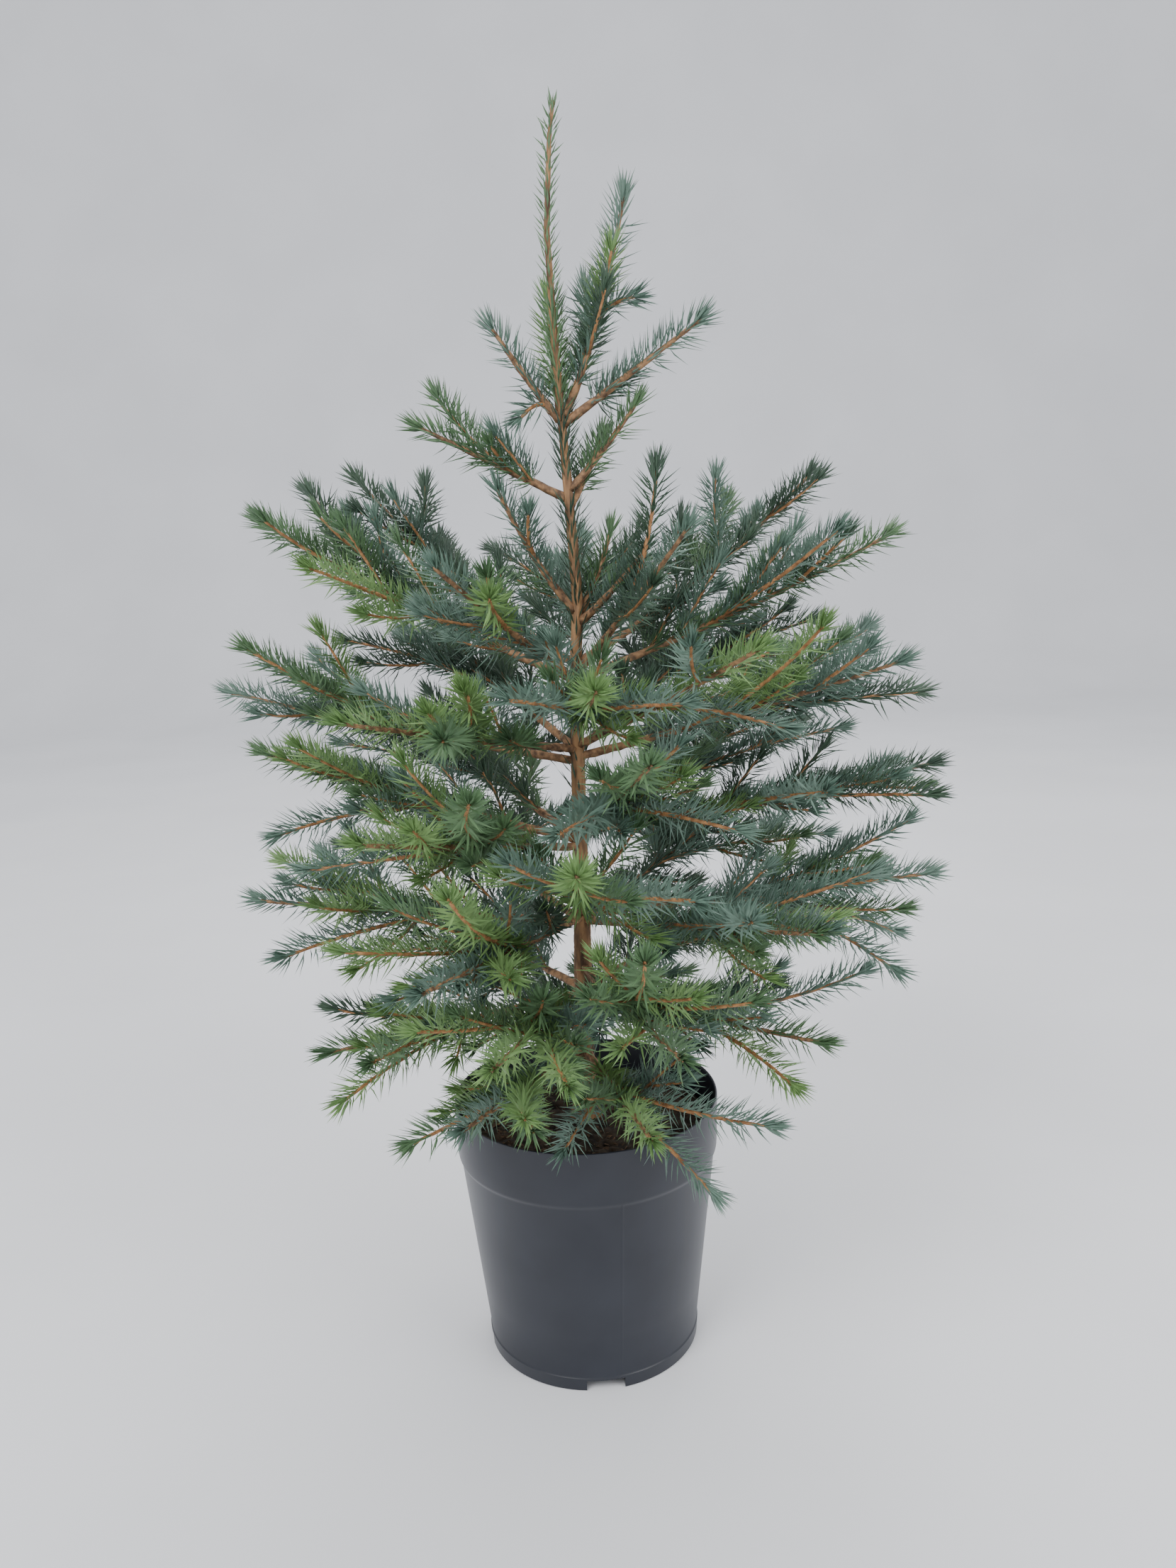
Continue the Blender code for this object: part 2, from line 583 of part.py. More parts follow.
def fit_needles(plan, limbs):
    """For each shoot of each mass, the numbers of the needles that meet no other shoot and no limb."""
    cores = {name: [body_tree(*core(shoot)) for shoot in shoots] for name, shoots in plan.items()}
    grown = []
    allowed = {}
    for name, shoots in plan.items():
        allowed[name] = []
        for place, shoot in enumerate(shoots):
            others = [tree for key, trees in cores.items() for number, tree in enumerate(trees)
                      if key != name or number != place]
            points, faces, needles = spray(shoot, grow=ROOM)
            tree = body_tree(points, faces)
            hit = set()
            for other in others + limbs + grown:
                hit |= {pair[0] for pair in tree.overlap(other)}
            good = {number for number, places in needles if not hit & set(places)}
            allowed[name].append(good)
            grown.append(body_tree(*spray(shoot, good)[:2]))
    return allowed


def fuse(name, bodies, finish):
    """One closed body from shoots whose roots are sunk into each other."""
    items = [add_object(f"{name}_shoot_{n}", points, faces, finish)
             for n, (points, faces) in enumerate(bodies)]
    body = items[0]
    body.name = name
    if len(items) > 1:
        group = bpy.data.collections.new(name + "_shoots")
        for item in items[1:]:
            group.objects.link(item)
        join = body.modifiers.new("join", "BOOLEAN")
        join.operation = "UNION"
        join.solver = "EXACT"
        join.operand_type = "COLLECTION"
        join.collection = group
        apply_modifiers(body)
        for item in items[1:]:
            bpy.data.objects.remove(item, do_unlink=True)
        bpy.data.collections.remove(group)
    return body


def make_sleeve(name, low, high, out, lean):
    """Needles that stand round the trunk: a thin closed sleeve, clear of the bark, with drawn-out walls."""
    sides = TRUNK_SIDES
    count = max(2, int(round((high - low) / SLEEVE_STEP)) + 1)
    heights = np.linspace(low, high, count)
    inner = [trunk_ring(h, SLEEVE_ROOM) for h in heights]
    outer = [trunk_ring(h, SLEEVE_ROOM + SLEEVE_THICKNESS) for h in heights]
    points = list(np.concatenate(inner + outer))
    faces = [tuple(reversed(quad)) for quad in ring_walls(count, sides)]
    base = count * sides
    for place, quad in enumerate(ring_walls(count, sides, base)):
        ring, side = divmod(place, sides)
        if (ring + side) % 2:
            faces.append(quad[:3])
            faces.append((quad[0], quad[2], quad[3]))
            continue
        middle = np.mean([points[q] for q in quad], axis=0)
        away = middle - trunk_middle(middle[2])
        away[2] = 0.0
        apex = len(points)
        points.append(middle + unit(away) * out + np.array([0.0, 0.0, lean]))
        faces += [(quad[a], quad[(a + 1) % 4], apex) for a in range(4)]
    for k in range(sides):
        n = (k + 1) % sides
        faces.append((k, n, base + n, base + k))
        top = (count - 1) * sides
        faces.append((top + n, top + k, base + top + k, base + top + n))
    return add_object(name, points, faces, "needles")


def make_crown(limbs, trunk):
    plan = fit_cores(limbs, trunk)
    allowed = fit_needles(plan, limbs)
    for name, shoots in plan.items():
        bodies = [spray(shoot, good)[:2] for shoot, good in zip(shoots, allowed[name])]
        fuse("mass_" + name, bodies, "needles")


def main():
    clear_scene()
    pot = make_pot()
    soil = make_soil()
    trunk = make_trunk()
    solid = [pot, soil, trunk]
    bark = object_tree(trunk)
    for name, share in MAIN_BOUGHS.items():
        solid.append(make_limb(name, share, bark))
    for name, sleeve in SLEEVES.items():
        solid.append(make_sleeve("needles_" + name, *sleeve))
    bpy.context.view_layer.update()
    make_crown([object_tree(item) for item in solid], bark)


main()
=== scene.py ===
# Looks of a young potted spruce: bark, twigs, needles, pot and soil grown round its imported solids.
# Metres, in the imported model's frame: +Z up, the middle of the pot's foot at the origin, -Y the front.
import math

import bpy
import numpy as np
from mathutils import Matrix


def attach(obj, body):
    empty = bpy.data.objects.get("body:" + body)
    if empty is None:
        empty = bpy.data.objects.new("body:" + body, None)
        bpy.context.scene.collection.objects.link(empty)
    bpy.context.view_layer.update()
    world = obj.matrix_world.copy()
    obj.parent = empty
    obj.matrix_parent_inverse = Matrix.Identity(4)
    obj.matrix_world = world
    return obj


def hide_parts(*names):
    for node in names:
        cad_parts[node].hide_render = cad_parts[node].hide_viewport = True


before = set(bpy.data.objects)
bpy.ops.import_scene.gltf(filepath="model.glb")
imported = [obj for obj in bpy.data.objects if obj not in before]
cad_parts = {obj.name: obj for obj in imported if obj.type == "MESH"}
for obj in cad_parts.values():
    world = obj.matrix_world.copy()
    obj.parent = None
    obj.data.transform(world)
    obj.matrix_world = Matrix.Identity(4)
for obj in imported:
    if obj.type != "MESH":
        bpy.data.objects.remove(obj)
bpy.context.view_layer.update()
print("loaded", len(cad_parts), "nodes")

# Camera at the photograph's viewing angle
camera = {
    "place": (0.0015, -0.7770, 0.5405),
    "pitchDown": 11.22,
    "yaw": 0.56,
    "roll": 2.08,
    "focalShare": 1736.5 / 2212,  # focal length over the image's taller side
    "sensor": 36.0,
    "clip": (0.01, 50.0),
}


def placeAlong(made, right, up, back, place):
    # The object's own X, Y and Z axes become right, up and back.
    matrix = np.eye(4)
    matrix[:3, 0], matrix[:3, 1], matrix[:3, 2], matrix[:3, 3] = right, up, back, place
    made.matrix_world = Matrix(matrix.tolist())


def makeCamera(values):
    # Looks along (sin yaw cos pitch, cos yaw cos pitch, -sin pitch), then rolls about that line.
    pitch, yaw, roll = (math.radians(values[key]) for key in ("pitchDown", "yaw", "roll"))
    ahead = np.array([math.sin(yaw) * math.cos(pitch), math.cos(yaw) * math.cos(pitch), -math.sin(pitch)])
    right = np.array([math.cos(yaw), -math.sin(yaw), 0.0])
    up = np.cross(right, ahead)
    data = bpy.data.cameras.new("camera")
    data.sensor_width = values["sensor"]
    data.lens = values["focalShare"] * values["sensor"]
    data.clip_start, data.clip_end = values["clip"]
    made = bpy.data.objects.new("camera", data)
    bpy.context.scene.collection.objects.link(made)
    placeAlong(made, math.cos(roll) * right - math.sin(roll) * up,
               math.sin(roll) * right + math.cos(roll) * up, -ahead, values["place"])
    bpy.context.scene.camera = made


makeCamera(camera)
print("camera placed")


# Shared helpers
def unit(v):
    # v / |v|, along the last axis.
    return v / np.maximum(np.linalg.norm(v, axis=-1, keepdims=True), 1e-12)


def tubeFaces(rings, sides):
    # Quads between neighbouring rings, wound to face out for rings that go up.
    i, k = np.meshgrid(np.arange(rings - 1), np.arange(sides), indexing="ij")
    n = (k + 1) % sides
    quads = np.stack([i * sides + k, i * sides + n, (i + 1) * sides + n, (i + 1) * sides + k], -1)
    return quads.reshape(-1, 4)


def lidded(points, rings, sides, firstEnd, lastEnd, turned=False):
    # A closed skin: quads between the rings, and a fan of triangles to a point at each end.
    # Rings that go down or outwards are turned, so that their faces still point out.
    ring = np.arange(sides)
    after = (ring + 1) % sides
    last = (rings - 1) * sides
    fans = np.concatenate([np.stack([after, ring, 0 * ring + len(points)], -1),
                           np.stack([last + ring, last + after, 0 * ring + len(points) + 1], -1)])
    quads = tubeFaces(rings, sides)
    if turned:
        quads, fans = quads[:, ::-1], fans[:, ::-1]
    return np.concatenate([points, [firstEnd, lastEnd]]), quads, fans


def inTriangles(points, quads, fans):
    # The same skin with each quad as two triangles.
    return points, np.concatenate([quads[:, [0, 1, 2]], quads[:, [0, 2, 3]], fans])


def joined(bodies):
    # One pair of arrays from many, with each body's faces moved on past the points before it.
    starts = np.cumsum([0] + [len(points) for points, _ in bodies[:-1]])
    return (np.concatenate([points for points, _ in bodies]),
            np.concatenate([faces + start for (_, faces), start in zip(bodies, starts)]))


def finishPiece(made, replaced=()):
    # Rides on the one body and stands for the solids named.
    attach(made, "root")
    if replaced:
        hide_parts(*replaced)


def dataPiece(name, points, faces, material, slotName, replaced=(), smooth=True):
    # A mesh object from arrays: points (n, 3) and triangles (m, 3).
    mesh = bpy.data.meshes.new(name)
    mesh.vertices.add(len(points))
    mesh.vertices.foreach_set("co", np.asarray(points, np.float32).ravel())
    mesh.loops.add(faces.size)
    mesh.loops.foreach_set("vertex_index", faces.astype(np.int32).ravel())
    mesh.polygons.add(len(faces))
    mesh.polygons.foreach_set("loop_start", np.arange(0, faces.size, 3, dtype=np.int32))
    mesh.polygons.foreach_set("use_smooth", np.full(len(faces), smooth))
    mesh.update(calc_edges=True)
    mesh.materials.append(material)
    made = bpy.data.objects.new(name, mesh)
    bpy.context.scene.collection.objects.link(made)
    finishPiece(made, replaced)


def nodeMaterial(name, values):
    # Base = mix of a dark and a light colour by noise, with a fine bump from the same noise.
    made = bpy.data.materials.new(name)
    made.use_nodes = True
    tree = made.node_tree
    shader = tree.nodes["Principled BSDF"]
    shader.inputs["Roughness"].default_value = values["roughness"]
    place = tree.nodes.new("ShaderNodeTexCoord")
    stretch = tree.nodes.new("ShaderNodeMapping")
    stretch.inputs["Scale"].default_value = values.get("stretch", (1.0, 1.0, 1.0))
    noise = tree.nodes.new("ShaderNodeTexNoise")
    noise.inputs["Scale"].default_value = values["scale"]
    noise.inputs["Detail"].default_value = 5.0
    ramp = tree.nodes.new("ShaderNodeValToRGB")
    ramp.color_ramp.elements[0].position = values.get("low", 0.35)
    ramp.color_ramp.elements[1].position = values.get("high", 0.65)
    ramp.color_ramp.elements[0].color = (*values["dark"], 1.0)
    ramp.color_ramp.elements[1].color = (*values["light"], 1.0)
    tree.links.new(place.outputs["Object"], stretch.inputs["Vector"])
    tree.links.new(stretch.outputs["Vector"], noise.inputs["Vector"])
    tree.links.new(noise.outputs["Fac"], ramp.inputs["Fac"])
    tree.links.new(ramp.outputs["Color"], shader.inputs["Base Color"])
    if values.get("bump"):
        bump = tree.nodes.new("ShaderNodeBump")
        bump.inputs["Strength"].default_value = values["bump"]
        bump.inputs["Distance"].default_value = values.get("bumpDepth", 0.0004)
        tree.links.new(noise.outputs["Fac"], bump.inputs["Height"])
        tree.links.new(bump.outputs["Normal"], shader.inputs["Normal"])
    return made


# Trunk: the middle's sideways offset and the bark's radius, each by height
trunk = {
    "line": ((0.157, 0.0), (0.30, 0.002), (0.467, 0.004), (0.50, 0.007), (0.56, 0.004),
             (0.65, -0.001), (0.72, -0.0035), (0.77, 0.000), (0.79, 0.003)),
    "girth": ((0.157, 0.0105), (0.168, 0.0082), (0.19, 0.0070), (0.30, 0.0056), (0.45, 0.0040),
              (0.56, 0.0031), (0.65, 0.0023), (0.74, 0.0017), (0.79, 0.0011)),
    "foot": 0.156,
    "soilLine": 0.157,
    "sides": 44,
    "ringStep": 0.0013,
    "ridges": 8,
    "ridgeDepth": 0.05,
    "ridgeMean": 0.6,
    "wander": (2.5, 70.0),         # how far and how often the ridges swing
    "breaks": (0.4, 330.0, 3),     # how deep and how often they break
    "knots": (0.5, 3, 41.0, 150.0),
    "grain": 0.35,
    "grainSeed": 5,
    "flare": (0.12, 4, 0.025),     # depth and number of the root lobes, and how high they run
    "tipCap": 0.003,
    "bark": {"dark": (0.075, 0.042, 0.024), "light": (0.36, 0.20, 0.095), "scale": 190.0,
             "stretch": (1.0, 1.0, 0.22), "roughness": 0.8, "bump": 0.6, "low": 0.36, "high": 0.62},
}


def trunkMiddle(height):
    # Middle = (offset(z), 0, z), with the offset read off the trunk's line.
    heights, offsets = zip(*trunk["line"])
    height = np.asarray(height, float)
    return np.stack([np.interp(height, heights, offsets), 0 * height, height], -1)


def trunkRadius(height):
    # Radius = girth(z), read off the girth table.
    heights, radii = zip(*trunk["girth"])
    return np.interp(height, heights, radii)


def makeTrunk(values):
    # r = girth(z) (1 + lobes at the foot) (1 + depth (ridge - mean)), with ridge(angle, z) a sum of
    # swinging ridges cos(n angle + swing sin(often z)), broken up along z, knots and grain.
    top = values["line"][-1][0]
    heights = np.arange(values["foot"], top, values["ringStep"])
    angles = np.arange(values["sides"]) * math.tau / values["sides"]
    z, a = np.meshgrid(heights, angles, indexing="ij")
    swing, swingOften = values["wander"]
    breakDepth, breakOften, breakTurns = values["breaks"]
    knotDepth, knotTurns, knotDrift, knotOften = values["knots"]
    lobeDepth, lobes, lobeHeight = values["flare"]
    ridge = np.cos(values["ridges"] * a + swing * np.sin(swingOften * z))
    ridge *= 1 - breakDepth + breakDepth * np.sin(breakOften * z + breakTurns * a)
    ridge += knotDepth * np.cos(knotTurns * a + knotDrift * z) * np.sin(knotOften * z)
    ridge += values["grain"] * np.random.RandomState(values["grainSeed"]).normal(size=z.shape)
    flare = np.clip(1 - (z - values["soilLine"]) / lobeHeight, 0, 1)
    radius = trunkRadius(z) * (1 + lobeDepth * flare * np.cos(lobes * a))
    radius *= 1 + values["ridgeDepth"] * (ridge - values["ridgeMean"])
    points = trunkMiddle(z) + np.stack([np.cos(a) * radius, np.sin(a) * radius, 0 * z], -1)
    return inTriangles(*lidded(points.reshape(-1, 3), len(heights), values["sides"],
                               trunkMiddle(heights[0]), trunkMiddle(top) + (0, 0, values["tipCap"])))


dataPiece("trunk_bark", *makeTrunk(trunk), nodeMaterial("bark", trunk["bark"]), "bark", ("trunk",))
print("trunk made")

# Crown: each bough as (azimuth, root height, reach, tip height, share of its rise done half way out),
# then its forks as (share along the bough, azimuth, reach, tip height)
crown = {
    "w1_left": ((195, 0.612, 0.039, 0.664, 0.45), ((0.20, 215, 0.028, 0.613),)),
    "w1_tall": ((15, 0.614, 0.045, 0.741, 0.30), ((0.55, 350, 0.047, 0.680),)),
    "w1_right": ((345, 0.610, 0.086, 0.663, 0.50), ()),
    "w1_back": ((100, 0.616, 0.030, 0.688, 0.25), ()),
    "w2_left": ((170, 0.566, 0.088, 0.612, 0.50), ((0.42, 158, 0.082, 0.631), (0.35, 188, 0.042, 0.597))),
    "w2_right": ((350, 0.571, 0.046, 0.618, 0.45), ()),
    "w2_back": ((50, 0.562, 0.040, 0.604, 0.40), ()),
    "w3_left": ((185, 0.497, 0.040, 0.572, 0.35), ((0.55, 215, 0.026, 0.556),)),
    "w3_right": ((335, 0.490, 0.052, 0.532, 0.40), ((0.45, 352, 0.046, 0.522),)),
    "w3_right_back": ((25, 0.497, 0.032, 0.544, 0.35), ()),
    "w3_back": ((92, 0.492, 0.070, 0.525, 0.40), ()),
    "w4_left": ((172, 0.455, 0.195, 0.559, 0.40), ((0.42, 160, 0.178, 0.577), (0.38, 203, 0.158, 0.530))),
    "w4_left_back": ((146, 0.465, 0.170, 0.586, 0.35), ((0.45, 126, 0.155, 0.545),)),
    "w4_back": ((86, 0.462, 0.175, 0.545, 0.35), ((0.40, 56, 0.180, 0.527), (0.40, 108, 0.170, 0.535))),
    "w4_right_back": ((30, 0.465, 0.198, 0.579, 0.35), ((0.45, 48, 0.175, 0.565),)),
    "w4_right": ((8, 0.455, 0.212, 0.537, 0.40), ((0.40, 350, 0.165, 0.540),)),
    "w4_front_right": ((318, 0.460, 0.095, 0.545, 0.45), ((0.45, 335, 0.062, 0.580),)),
    "w4_front_left": ((236, 0.455, 0.125, 0.528, 0.45), ((0.50, 250, 0.120, 0.511),)),
    "w5_left": ((166, 0.402, 0.236, 0.447, 0.40), ((0.40, 183, 0.198, 0.481), (0.42, 152, 0.200, 0.465))),
    "w5_front_left": ((224, 0.410, 0.172, 0.448, 0.45), ((0.42, 247, 0.168, 0.442),)),
    "w5_front": ((275, 0.424, 0.152, 0.464, 0.50), ((0.40, 258, 0.152, 0.461), (0.45, 292, 0.155, 0.455))),
    "w5_front_right": ((310, 0.413, 0.158, 0.480, 0.45), ((0.45, 323, 0.150, 0.432),)),
    "w5_right": ((352, 0.405, 0.205, 0.461, 0.42),
                 ((0.38, 333, 0.163, 0.487), (0.42, 7, 0.232, 0.434), (0.38, 18, 0.216, 0.475))),
    "w5_back_right": ((52, 0.410, 0.205, 0.490, 0.40), ((0.42, 33, 0.210, 0.478), (0.42, 74, 0.200, 0.475))),
    "w5_back_left": ((122, 0.410, 0.200, 0.490, 0.40), ((0.42, 143, 0.200, 0.475), (0.42, 99, 0.195, 0.480))),
    "w6_left": ((178, 0.350, 0.199, 0.413, 0.45), ((0.42, 191, 0.185, 0.369), (0.42, 162, 0.195, 0.395))),
    "w6_front_left": ((230, 0.346, 0.180, 0.385, 0.45),
                      ((0.40, 207, 0.176, 0.357), (0.42, 253, 0.180, 0.412))),
    "w6_front": ((284, 0.355, 0.165, 0.426, 0.50), ((0.42, 267, 0.170, 0.394), (0.42, 302, 0.165, 0.385))),
    "w6_right": ((4, 0.355, 0.236, 0.388, 0.45), ((0.38, 330, 0.168, 0.393), (0.45, 351, 0.223, 0.378))),
    "w6_back_right": ((48, 0.350, 0.215, 0.410, 0.45),
                      ((0.42, 28, 0.220, 0.400), (0.42, 72, 0.204, 0.400))),
    "w6_back_left": ((124, 0.350, 0.210, 0.410, 0.45),
                     ((0.42, 100, 0.200, 0.400), (0.42, 145, 0.205, 0.400))),
    "w7_left": ((187, 0.295, 0.202, 0.324, 0.45), ((0.40, 171, 0.200, 0.335), (0.40, 202, 0.190, 0.302))),
    "w7_front_left": ((243, 0.298, 0.185, 0.310, 0.50),
                      ((0.42, 224, 0.182, 0.322), (0.42, 250, 0.190, 0.365))),
    "w7_front": ((270, 0.302, 0.192, 0.378, 0.50), ((0.42, 288, 0.190, 0.360),)),
    "w7_front_right": ((316, 0.296, 0.185, 0.322, 0.48),
                       ((0.42, 300, 0.182, 0.340), (0.42, 333, 0.192, 0.345))),
    "w7_right": ((358, 0.300, 0.228, 0.320, 0.45),
                 ((0.45, 344, 0.201, 0.273), (0.45, 10, 0.222, 0.266), (0.42, 4, 0.220, 0.350))),
    "w7_back_right": ((52, 0.295, 0.212, 0.340, 0.45), ((0.42, 31, 0.215, 0.320), (0.42, 74, 0.201, 0.335))),
    "w7_back_left": ((124, 0.295, 0.208, 0.340, 0.45),
                     ((0.42, 100, 0.200, 0.330), (0.42, 147, 0.205, 0.325))),
    "w8_left": ((200, 0.245, 0.168, 0.234, 0.50),
                ((0.40, 187, 0.160, 0.247), (0.40, 214, 0.172, 0.220), (0.38, 224, 0.168, 0.252))),
    "w8_front": ((254, 0.250, 0.176, 0.268, 0.55), ((0.40, 240, 0.178, 0.285), (0.42, 267, 0.170, 0.258))),
    "w8_front_right": ((288, 0.264, 0.170, 0.266, 0.55),
                       ((0.42, 280, 0.188, 0.330), (0.42, 303, 0.172, 0.290))),
    "w8_right": ((335, 0.245, 0.162, 0.232, 0.50), ((0.42, 321, 0.157, 0.220), (0.42, 356, 0.184, 0.256))),
    "w8_back_right": ((48, 0.250, 0.195, 0.258, 0.50), ((0.40, 24, 0.200, 0.255), (0.42, 73, 0.190, 0.255))),
    "w8_back_left": ((124, 0.248, 0.190, 0.255, 0.50), ((0.42, 99, 0.185, 0.255), (0.42, 152, 0.180, 0.250))),
    "w9_front_left": ((241, 0.207, 0.145, 0.213, 0.60),
                      ((0.42, 230, 0.156, 0.203), (0.42, 257, 0.150, 0.228))),
    "w9_front_right": ((285, 0.205, 0.140, 0.207, 0.62),
                       ((0.42, 302, 0.136, 0.162), (0.42, 311, 0.160, 0.205))),
    "w9_back": ((90, 0.205, 0.150, 0.212, 0.60), ((0.40, 58, 0.150, 0.210), (0.40, 124, 0.150, 0.210))),
}
growth = {
    "rootShare": 0.6,              # where a bough starts, as a share of the trunk's radius
    "forkPull": (0.28, 0.22),      # how far a fork's pull follows its span and the bough's course
    "pairBack": 0.062,
    "pairLength": 0.046,
    "shootAngle": 48.0,
    "pairSpread": (0.25, 0.2, 8.0, 30.0),  # of a pair's place, length, angle and roll
    "bend": 0.2,
    "rise": 0.12,
    "fineStep": 0.021,
    "fineLength": (0.038, 0.070),
    "fineFirst": 0.22,
    "fineBehindTip": 0.075,
    "fineGain": (0.75, 0.35),      # length at the first twig, and what it gains towards the tip
    "fineAngleSpread": 10.0,
    "fineRoll": (8.0, 38.0),       # middle and spread
    "seed": 41,
}


def curvePoint(curve, share):
    # B(s) = (1-s)^2 start + 2 s (1-s) pull + s^2 end.
    s = np.asarray(share, float)[..., None]
    return (1 - s) ** 2 * curve[0] + 2 * s * (1 - s) * curve[1] + s * s * curve[2]


def curveCourse(curve, share):
    # B'(s), made a unit vector.
    s = np.asarray(share, float)[..., None]
    return unit(2 * (1 - s) * (curve[1] - curve[0]) + 2 * s * (curve[2] - curve[1]))


def curveLength(curve):
    # Sum of 16 chords.
    return float(np.linalg.norm(np.diff(curvePoint(curve, np.linspace(0, 1, 17)), axis=0), axis=1).sum())


def crownPoint(azimuth, reach, height):
    # (reach cos a, reach sin a, height).
    turn = math.radians(azimuth)
    return np.array([reach * math.cos(turn), reach * math.sin(turn), height])


def boughCurve(azimuth, root, reach, tipHeight, rise):
    # Starts inside the trunk's bark, with its pull half way out and its rise done to the stated share.
    start = trunkMiddle(root) + growth["rootShare"] * trunkRadius(root) * crownPoint(azimuth, 1.0, 0.0)
    end = crownPoint(azimuth, reach, tipHeight)
    return np.array([start, start + (end - start) * (0.5, 0.5, rise), end])


def forkCurve(bough, share, azimuth, reach, tipHeight):
    # Leaves along the bough's own course: pull = start + a span + b |span| course.
    along, ahead = growth["forkPull"]
    start = curvePoint(bough, share)
    end = crownPoint(azimuth, reach, tipHeight)
    span = end - start
    pull = start + along * span + ahead * np.linalg.norm(span) * curveCourse(bough, share)
    return np.array([start, pull, end])


def sideCurve(stem, share, side, length, angle, roll):
    # Leaves at the angle to the stem's course, in the plane turned up or down by the roll.
    course = curveCourse(stem, share)
    across = unit(np.cross(course, (0.0, 0.0, 1.0))) * side
    over = np.cross(across, course) * side
    spread = across * math.cos(roll) + over * math.sin(roll)
    away = course * math.cos(angle) + spread * math.sin(angle)
    start = curvePoint(stem, share)
    end = start + length * unit(away + growth["bend"] * course + np.array([0.0, 0.0, growth["rise"]]))
    return np.array([start, start + 0.5 * length * away, end])


def sidePair(stem, seed):
    # The source's pair of side shoots behind a stem's tip, from the same seeded draws.
    chance = np.random.RandomState(seed)
    length = curveLength(stem)
    if length < 2 * growth["pairBack"]:
        return []
    placeSpread, lengthSpread, angleSpread, rollSpread = growth["pairSpread"]
    made = []
    for side in (-1, 1):
        share = 1 - growth["pairBack"] * (1 + placeSpread * chance.uniform(-1, 1)) / length
        reach = growth["pairLength"] * (1 + lengthSpread * chance.uniform(-1, 1))
        angle = math.radians(growth["shootAngle"] + angleSpread * chance.uniform(-1, 1))
        roll = math.radians(rollSpread * chance.uniform(-1, 1))
        made.append(sideCurve(stem, share, side, reach, angle, roll))
    return made


def fineShoots(stem, chance):
    # Twigs in turn to the left and right, one each fine step, from the first share to behind the tip.
    length = curveLength(stem)
    low, high = growth["fineFirst"], 1 - growth["fineBehindTip"] / length
    if high <= low:
        return []
    shares = np.arange(low, high, growth["fineStep"] / length)
    start, gain = growth["fineGain"]
    made = []
    for number, share in enumerate(shares):
        reach = chance.uniform(*growth["fineLength"]) * (start + gain * (share - low) / (high - low))
        angle = math.radians(growth["shootAngle"] + growth["fineAngleSpread"] * chance.uniform(-1, 1))
        roll = math.radians(chance.normal(*growth["fineRoll"]))
        made.append(sideCurve(stem, share, 1 if number % 2 else -1, reach, angle, roll))
    return made


def growCrown():
    # Every shoot as (curve, rank): stems 0, forks 1, the source's pairs 2, finer twigs 3.
    chance = np.random.RandomState(growth["seed"])
    grown = []
    for place, (bough, forks) in enumerate(crown.values()):
        stem = boughCurve(*bough)
        own = [(stem, 0)] + [(forkCurve(stem, *fork), 1) for fork in forks]
        pairs = [(side, 2) for number in range(min(2, len(own)))
                 for side in sidePair(own[number][0], 10 * place + number)]
        fine = [(twig, 3) for curve, _ in own for twig in fineShoots(curve, chance)]
        grown += own + pairs + fine
    return grown


shoots = growCrown()
print("grew", len(shoots), "shoots")

# Wood of the boughs and twigs, by rank
wood = {
    "radii": {0: (0.0027, 0.0011), 1: (0.0016, 0.0009), 2: (0.0012, 0.0008), 3: (0.0011, 0.0007)},
    "sides": {0: 12, 1: 8, 2: 6, 3: 6},
    "step": 0.004,
    "relief": 0.16,
    "fewestRings": 4,
    "rootCap": 0.0005,
    "tipCap": 2.0,  # in radii
    "boughBark": {"dark": (0.090, 0.050, 0.028), "light": (0.37, 0.205, 0.100), "scale": 240.0,
                  "roughness": 0.78, "bump": 0.5},
    "twigBark": {"dark": (0.22, 0.095, 0.035), "light": (0.48, 0.24, 0.10), "scale": 260.0,
                 "roughness": 0.7, "bump": 0.4},
}


def limbTube(curve, rank, seed):
    # Rings round B(s) of radius r(s) (1 + relief noise), closed at both ends by a point.
    startRadius, endRadius = wood["radii"][rank]
    sides = wood["sides"][rank]
    count = max(wood["fewestRings"], int(curveLength(curve) / wood["step"]))
    shares = np.linspace(0, 1, count)
    middle, course = curvePoint(curve, shares), curveCourse(curve, shares)
    across = unit(np.cross(course, (0.0, 0.0, 1.0)))
    over = np.cross(across, course)
    radius = startRadius + (endRadius - startRadius) * shares
    rough = 1 + wood["relief"] * np.random.RandomState(seed).uniform(-1, 1, (count, sides))
    turn = np.arange(sides) * math.tau / sides
    out = across[:, None] * np.cos(turn)[None, :, None] - over[:, None] * np.sin(turn)[None, :, None]
    points = (middle[:, None] + out * (radius[:, None] * rough)[..., None]).reshape(-1, 3)
    return inTriangles(*lidded(points, count, sides, middle[0] - course[0] * wood["rootCap"],
                               middle[-1] + course[-1] * endRadius * wood["tipCap"]))


def woodOf(ranks):
    # Tubes for the shoots of these ranks.
    return joined([limbTube(curve, rank, number)
                   for number, (curve, rank) in enumerate(shoots) if rank in ranks])


limbNodes = tuple(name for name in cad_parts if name.startswith("bough_"))
massNodes = tuple(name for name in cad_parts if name.startswith("mass_"))
sleeveNodes = tuple(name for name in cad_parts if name.startswith("needles_"))
dataPiece("bough_wood", *woodOf((0,)), nodeMaterial("boughBark", wood["boughBark"]), "bark", limbNodes)
dataPiece("twig_wood", *woodOf((1, 2, 3)), nodeMaterial("twigBark", wood["twigBark"]), "bark", massNodes)
print("wood made")
